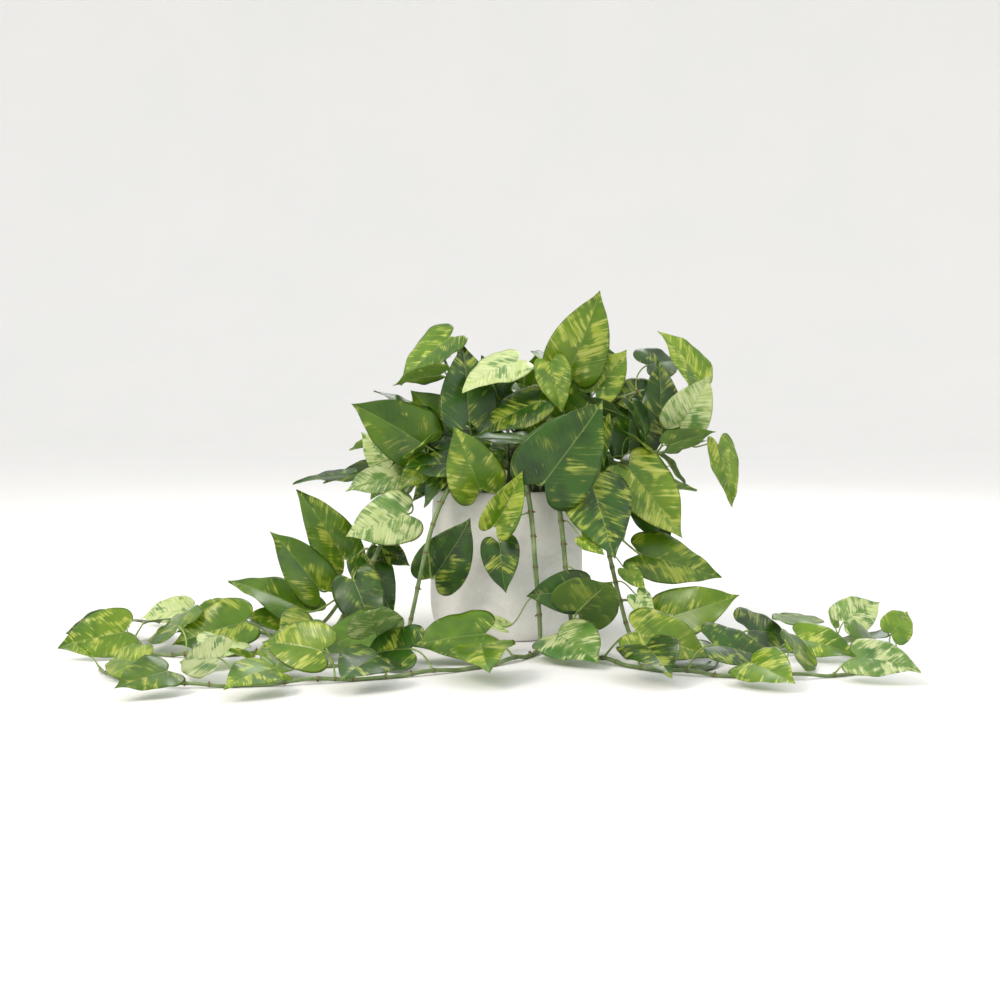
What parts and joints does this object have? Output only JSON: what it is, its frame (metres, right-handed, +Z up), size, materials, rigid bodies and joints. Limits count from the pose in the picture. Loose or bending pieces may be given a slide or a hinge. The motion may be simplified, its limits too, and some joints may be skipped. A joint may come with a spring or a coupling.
{
  "type": "potted pothos plant",
  "caption": "Trailing heart-leaved houseplant in a round white-washed cement pot; its upright crown stands over the rim and its long vines lie along the surface.",
  "frame": {"origin": "centre of the pot's flat foot, on the surface that the pot stands on", "axes": "+Z up, -Y towards the viewer that the crown faces, +X to that viewer's right"},
  "size_m": [0.977, 0.6622, 0.422],
  "materials": {
    "white_washed_cement": "matte",
    "potting_soil": "matte",
    "green_stem": "satin",
    "deep_leaf": "satin",
    "green_leaf": "satin",
    "lime_leaf": "satin",
    "cream_leaf": "satin"
  },
  "bodies": {
    "root": {"pot": "white_washed_cement", "shoot_back_left": "green_stem", "shoot_back_left_leaf_1": "green_leaf", "shoot_back_middle": "green_stem", "shoot_back_middle_leaf_1": "deep_leaf", "shoot_back_middle_leaf_2": "green_leaf", "shoot_back_right": "green_stem", "shoot_back_right_leaf_1": "lime_leaf", "shoot_back_right_leaf_2": "deep_leaf", "shoot_right": "green_stem", "shoot_right_leaf_1": "deep_leaf", "shoot_right_leaf_2": "cream_leaf", "shoot_right_leaf_3": "lime_leaf", "shoot_right_leaf_4": "lime_leaf", "shoot_top_left": "green_stem", "shoot_top_left_leaf_1": "green_leaf", "shoot_top_left_leaf_2": "deep_leaf", "shoot_top_middle": "green_stem", "shoot_top_middle_leaf_1": "lime_leaf", "shoot_top_middle_leaf_2": "cream_leaf", "shoot_top_right": "green_stem", "shoot_top_right_leaf_1": "lime_leaf", "soil": "potting_soil", "vine_front_left": "green_stem", "vine_front_left_leaf_1": "lime_leaf", "vine_front_left_leaf_2": "deep_leaf", "vine_front_left_leaf_on_surface_1": "green_leaf", "vine_front_left_leaf_on_surface_2": "lime_leaf", "vine_front_middle": "green_stem", "vine_front_middle_leaf_1": "deep_leaf", "vine_front_middle_leaf_2": "lime_leaf", "vine_front_middle_leaf_3": "deep_leaf", "vine_front_middle_leaf_on_surface_1": "cream_leaf", "vine_front_middle_leaf_on_surface_2": "deep_leaf", "vine_front_middle_leaf_on_surface_3": "green_leaf", "vine_front_middle_leaf_on_surface_4": "lime_leaf", "vine_front_right": "green_stem", "vine_front_right_leaf_1": "deep_leaf", "vine_front_right_leaf_on_surface_1": "green_leaf", "vine_front_right_leaf_on_surface_2": "deep_leaf", "vine_front_right_leaf_on_surface_3": "cream_leaf", "vine_front_right_leaf_on_surface_4": "deep_leaf", "vine_left_inner": "green_stem", "vine_left_inner_leaf_1": "cream_leaf", "vine_left_inner_leaf_on_surface_1": "lime_leaf", "vine_left_inner_leaf_on_surface_2": "green_leaf", "vine_left_inner_leaf_on_surface_3": "deep_leaf", "vine_left_outer": "green_stem", "vine_left_outer_leaf_1": "green_leaf", "vine_left_outer_leaf_2": "green_leaf", "vine_left_outer_leaf_3": "green_leaf", "vine_left_outer_leaf_4": "green_leaf", "vine_left_outer_leaf_on_surface_1": "deep_leaf", "vine_left_outer_leaf_on_surface_2": "cream_leaf", "vine_right": "green_stem", "vine_right_leaf_1": "green_leaf", "vine_right_leaf_2": "lime_leaf", "vine_right_leaf_on_surface_1": "lime_leaf", "vine_right_leaf_on_surface_2": "lime_leaf"}
  },
  "joints": []
}
